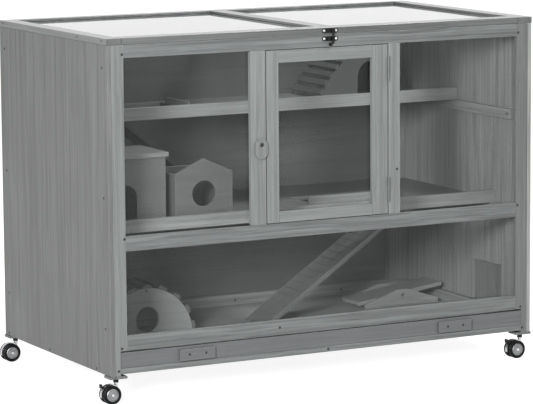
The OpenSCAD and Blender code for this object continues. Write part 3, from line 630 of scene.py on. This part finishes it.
TO_LEFT, TO_RIGHT = (-1, 0, 0), (1, 0, 0)
TO_FRONT, TO_BACK = (0, -1, 0), (0, 1, 0)
# Screw sizes: the head's radius and height
TIMBER_SCREW = (3.1 * MM, 0.8 * MM)
HUT_SCREW = (2.6 * MM, 0.7 * MM)
LID_SIDE_SCREW = (2.6 * MM, 0.6 * MM)
LID_BACK_SCREW = (2.4 * MM, 0.6 * MM)
LATCH_SCREW = (3.0 * MM, 1.5 * MM)
GRIP_SCREW = (3.0 * MM, 0.9 * MM)
LID_HINGE_SCREW = (2.2 * MM, 0.7 * MM)
HATCH_HINGE_SCREW = (1.6 * MM, 0.5 * MM)
# A frame screw's CAD stand-in that is longer than LONG_SCREW is a head on a shank
LONG_SCREW = 2 * MM
HEAD_HEIGHT = 1.6 * MM

# Screws of the cabinet: every CAD stand-in becomes a head with a recess
heads = []
for low, high, _group in solids_of("frame_screws"):
    size, centre = high - low, (low + high) / 2
    axis = min(range(3), key=lambda i: size[i])
    outward = Vector((0, 0, 0))
    outward[axis] = -1 if axis == 1 else math.copysign(1, centre.x)
    shank = size[axis] > LONG_SCREW
    height = HEAD_HEIGHT if shank else size[axis]
    foot = centre + outward * (size[axis] / 2 - height)
    heads.append((foot, outward, max(size) / 2, height, size[axis] - height if shank else 0.0))
cabinet_screws = screw_set("cabinet_screws", heads, steel_screw, "cabinet")
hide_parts("frame_screws")

# Screws in the back base rail, the hut's front and the shelf's two cleats
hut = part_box("hut_ends")
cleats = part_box("shelf_cleats")
CLEAT_DEPTH = 12 * MM
rail_face = back_panel[0].y - BACK_RAIL_DEPTH
rail_z = base[1].z - 15.6 * MM
cleat_y = cleats[0].y + 12 * MM
cleat_z = middle_of(cleats).z
screw_set("inside_screws", [
    (Vector((middle_of(base).x + 60 * MM, rail_face, rail_z)), TO_FRONT, *TIMBER_SCREW),
    (Vector((base[0].x + 190 * MM, rail_face, rail_z)), TO_FRONT, *TIMBER_SCREW),
    (Vector((base[1].x - 190 * MM, rail_face, rail_z)), TO_FRONT, *TIMBER_SCREW),
    (Vector((middle_of(hut).x - 2 * MM, hut[0].y, hut[1].z - 6 * MM)), TO_FRONT, *HUT_SCREW),
    (Vector((cleats[1].x - CLEAT_DEPTH, cleat_y, cleat_z)), TO_LEFT, *TIMBER_SCREW),
    (Vector((cleats[0].x + CLEAT_DEPTH, cleat_y, cleat_z)), TO_RIGHT, *TIMBER_SCREW),
], steel_screw, "cabinet")

# Screws in the lid's sides, and one on each half of its back bar, facing the front
lid_mid = middle_of(lid)
side_screw_z = lid_mid.z + 1.5 * MM
back_screw_x = 97 * MM
back_screw_z = lid[1].z - 3.2 * MM
screws = []
for side in (-1, 1):
    x = lid[0].x if side < 0 else lid[1].x
    for y in (lid[0].y + 26 * MM, lid[0].y + 160 * MM, lid[1].y - 26 * MM):
        screws.append((Vector((x, y, side_screw_z)), (side, 0, 0), *LID_SIDE_SCREW))
    screws.append((Vector((side * back_screw_x, lid_glass[1].y - LID_LAP, back_screw_z)),
                   TO_FRONT, *LID_BACK_SCREW))
screw_set("lid_screws", screws, steel_screw, "lid")

# Bright screws at the ends of the two latch plates
PLATE = 1.2 * MM
plate_x = middle_of(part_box("latch_keeper")).x
plate_face = rails[0].y - PLATE
keeper_z = rails[1].z - 11.5 * MM
latch_screw_x = (plate_x - 16 * MM, plate_x + 16 * MM)
screw_set("latch_screws_rail", [
    (Vector((x, plate_face, keeper_z)), TO_FRONT, *LATCH_SCREW) for x in latch_screw_x],
    steel_bright, "cabinet")
screw_set("latch_screws_lid", [
    (Vector((x, plate_face, lid_mid.z)), TO_FRONT, *LATCH_SCREW) for x in latch_screw_x],
    steel_bright, "lid")

# Two screws in each of the tray's grips
GRIP_SCREW_X = 21.7 * MM
grip_z = middle_of(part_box("tray_grips")).z + 1 * MM
screw_set("grip_screws", [
    (Vector(((low.x + high.x) / 2 + dx, low.y, grip_z)), TO_FRONT, *GRIP_SCREW)
    for low, high, _group in solids_of("tray_grips") for dx in (-GRIP_SCREW_X, GRIP_SCREW_X)],
    steel_screw, "tray")

# Screws of the lid's hinges at the back, and of the hatch's hinges
LEAF = 0.9 * MM
LID_HINGE_HALF = 35 * MM
hinge_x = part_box("lid_hardware")[1].x - LID_HINGE_HALF
lid_hinge_screw_x = [x + dx for x in (-hinge_x, hinge_x) for dx in (-24 * MM, 0, 24 * MM)]
rear = back_panel[1].y + LEAF
leaf_screw_z = 8 * MM
screw_set("hinge_screws_back", [
    (Vector((x, rear, rails[1].z - leaf_screw_z)), TO_BACK, *LID_HINGE_SCREW)
    for x in lid_hinge_screw_x], steel_black, "cabinet")
screw_set("hinge_screws_lid", [
    (Vector((x, rear, rails[1].z + leaf_screw_z)), TO_BACK, *LID_HINGE_SCREW)
    for x in lid_hinge_screw_x], steel_black, "lid")
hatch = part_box("hatch_hinges")
HATCH_HINGE_HALF = 15 * MM
hatch_screw_y = hatch[1].y + 7.5 * MM
screw_set("hinge_screws_hatch", [
    (Vector((side_right[1].x + LEAF, hatch_screw_y, z + dz)), TO_RIGHT, *HATCH_HINGE_SCREW)
    for z in (hatch[0].z + HATCH_HINGE_HALF, hatch[1].z - HATCH_HINGE_HALF)
    for dz in (-9 * MM, 9 * MM)],
    steel_black, "cabinet")


# Half-round slats over the hut, each a little uneven along its length
SLAT_ARC = 14
SLAT_CUTS = 8


def build_slats(bm):
    axis_x = middle_of(hut).x
    for low, high, group in solids_of("hut_slats"):
        front = [c for c in group if c.y < (low.y + high.y) / 2]
        centre = sum(front, Vector()) / len(front)
        outward = Vector((centre.x - axis_x, 0, centre.z - hut[0].z)).normalized()
        across = Vector((-outward.z, 0, outward.x))
        half = max(abs((c - centre).dot(across)) for c in front)
        rise = max(abs((c - centre).dot(outward)) for c in front)
        lift = random.uniform(0.9, 1.0)
        outline = [(-half, -rise), (half, -rise)]
        for i in range(SLAT_ARC + 1):
            t = math.pi * i / SLAT_ARC
            u = math.cos(t)
            outline.append((half * math.copysign(abs(u) ** 0.8, u),
                            -rise + 2 * rise * lift * (0.28 + 0.72 * math.sin(t) ** 0.75)))
        sections = []
        for k in range(SLAT_CUTS + 1):
            y = low.y + (high.y - low.y) * k / SLAT_CUTS
            shrink = 0.94 if k in (0, SLAT_CUTS) else random.uniform(0.975, 1.0)
            middle = Vector((centre.x, y, centre.z))
            sections.append([
                bm.verts.new(middle + across * (a * shrink)
                             + outward * (-rise + (b + rise) * shrink))
                for a, b in outline])
        for first, second in zip(sections, sections[1:]):
            for i in range(len(outline)):
                j = (i + 1) % len(outline)
                bm.faces.new((first[i], first[j], second[j], second[i]))
        bm.faces.new(list(reversed(sections[0])))
        bm.faces.new(sections[-1])


slats = make_piece("hut_half_round_slats", build_slats, wood_in_y, "cabinet", 50)
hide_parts("hut_slats")


# Twin caster wheels: rounded tread with a groove, recessed web and a silver hub cap
WHEEL_GAP = 5.5 * MM
AXLE_BORE = 4 * MM
TREAD_ROUND = 2.6 * MM
QUARTER = [math.pi / 2 * k / 6 for k in range(7)]
CORNERS = ("fl", "fr", "bl", "br")


def tyre_profile(r, inner, outer):
    """Radius and height points of one wheel, from its inner face to its outer one."""
    flank = inner + 0.6 * MM
    face = outer - 0.3 * MM
    web = outer - 2.4 * MM
    middle = (inner + outer) / 2
    shoulder = r - TREAD_ROUND
    profile = [(AXLE_BORE, inner), (r * 0.62, inner), (r * 0.66, flank),
               (shoulder - 1.5 * MM, flank)]
    profile += [(shoulder + TREAD_ROUND * math.sin(a), flank + TREAD_ROUND * (1 - math.cos(a)))
                for a in QUARTER]
    profile += [(r, middle - 0.5 * MM), (r - 0.5 * MM, middle), (r, middle + 0.5 * MM)]
    profile += [(shoulder + TREAD_ROUND * math.cos(a),
                 face - TREAD_ROUND + TREAD_ROUND * math.sin(a)) for a in QUARTER]
    profile += [(r * 0.73, face), (r * 0.70, outer - 0.9 * MM), (r * 0.66, web),
                (AXLE_BORE, web)]
    return profile


# The hub cap's points: share of the wheel's radius, and depth below its outer face
CAP = [(0, 2.3 * MM), (0.655, 2.3 * MM), (0.655, 0.9 * MM), (0.63, 0.5 * MM),
       (0.57, 0.5 * MM), (0.55, 1.9 * MM), (0.49, 1.9 * MM), (0.47, 0.9 * MM),
       (0.32, 0.7 * MM), (0.30, 1.4 * MM), (0.23, 1.4 * MM), (0.21, 0.12 * MM),
       (0, 0.04 * MM)]


def wheel_pair(corner):
    """Both wheels of one caster, turned about its axle: tyres, and hub caps."""
    low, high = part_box("caster_wheels_" + corner)
    centre = (low + high) / 2
    radius = (high.z - low.z) / 2
    outer = (high.y - low.y) / 2
    sides = [facing(centre, (0, side, 0)) for side in (-1, 1)]

    def build_tyres(bm):
        for place in sides:
            turn_profile(bm, tyre_profile(radius, WHEEL_GAP, outer), place, 72)

    def build_caps(bm):
        for place in sides:
            profile = [(radius * share, outer - depth) for share, depth in CAP]
            turn_profile(bm, profile, place, 64)

    tyres = make_piece("wheel_tyres_" + corner, build_tyres, tyre, "wheels_" + corner,
                       40)
    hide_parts("caster_wheels_" + corner)
    make_piece("wheel_caps_" + corner, build_caps, steel_hub, "wheels_" + corner,
               30)


for corner in CORNERS:
    wheel_pair(corner)


# ---------------------------------------------------------------- stage, light and camera

FLOOR_HALF = 90
FLOOR_DROP = 0.2 * MM
WORLD_STRENGTH = 0.98
# Camera worked out from the cage's corners in the photograph: metres, degrees, millimetres
CAMERA_PLACE = (-3.4277, -6.4902, 1.4530)
CAMERA_YAW, CAMERA_PITCH, CAMERA_ROLL = 27.842, 8.198, -0.435
CAMERA_LENS, CAMERA_SENSOR = 201.69, 36

floor_mesh = bpy.data.meshes.new("studio_floor")
bm = bmesh.new()
bmesh.ops.create_grid(bm, x_segments=8, y_segments=8, size=FLOOR_HALF)
bm.to_mesh(floor_mesh)
bm.free()
floor_mesh.materials.append(studio_floor("studio_floor"))
floor = bpy.data.objects.new("studio_floor", floor_mesh)
floor.location.z = cad_low.z - FLOOR_DROP
bpy.context.scene.collection.objects.link(floor)
floor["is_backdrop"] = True

world = bpy.data.worlds.new("studio")
world.use_nodes = True
background = world.node_tree.nodes["Background"]
background.inputs["Color"].default_value = (1, 1, 1, 1)
background.inputs["Strength"].default_value = WORLD_STRENGTH
bpy.context.scene.world = world


def area_light(name, place, target, size, power):
    """A round soft light that the camera doesn't see."""
    light = bpy.data.lights.new(name, "AREA")
    light.shape = "DISK"
    light.size = size
    light.energy = power
    obj = bpy.data.objects.new(name, light)
    bpy.context.scene.collection.objects.link(obj)
    obj.location = place
    obj.rotation_mode = "QUATERNION"
    obj.rotation_quaternion = (Vector(target) - Vector(place)).to_track_quat("-Z", "Y")
    obj.visible_camera = False


area_light("key", place=(-3.44, -3.69, 1.71), target=middle_of((cad_low, cad_high)),
           size=1.2, power=540)
area_light("overhead", place=(1.1, -0.8, 2.8), target=(-0.3, 0.25, 0.7), size=0.9, power=95)

camera_data = bpy.data.cameras.new("camera")
camera_data.sensor_width = CAMERA_SENSOR
camera_data.sensor_fit = "HORIZONTAL"
camera_data.lens = CAMERA_LENS
camera_data.clip_start = 0.1
camera_data.clip_end = 500
camera = bpy.data.objects.new("camera", camera_data)
bpy.context.scene.collection.objects.link(camera)
yaw, pitch, roll = (math.radians(a) for a in (CAMERA_YAW, CAMERA_PITCH, CAMERA_ROLL))
ahead = Vector((math.sin(yaw) * math.cos(pitch), math.cos(yaw) * math.cos(pitch),
                -math.sin(pitch)))
level = Vector((math.cos(yaw), -math.sin(yaw), 0))
upright = level.cross(ahead)
right = level * math.cos(roll) + upright * math.sin(roll)
up = upright * math.cos(roll) - level * math.sin(roll)
pose = Matrix((right, up, -ahead)).transposed().to_4x4()
pose.translation = Vector(CAMERA_PLACE)
camera.matrix_world = pose
bpy.context.scene.camera = camera
bpy.context.scene.view_settings.view_transform = "Standard"

low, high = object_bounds()
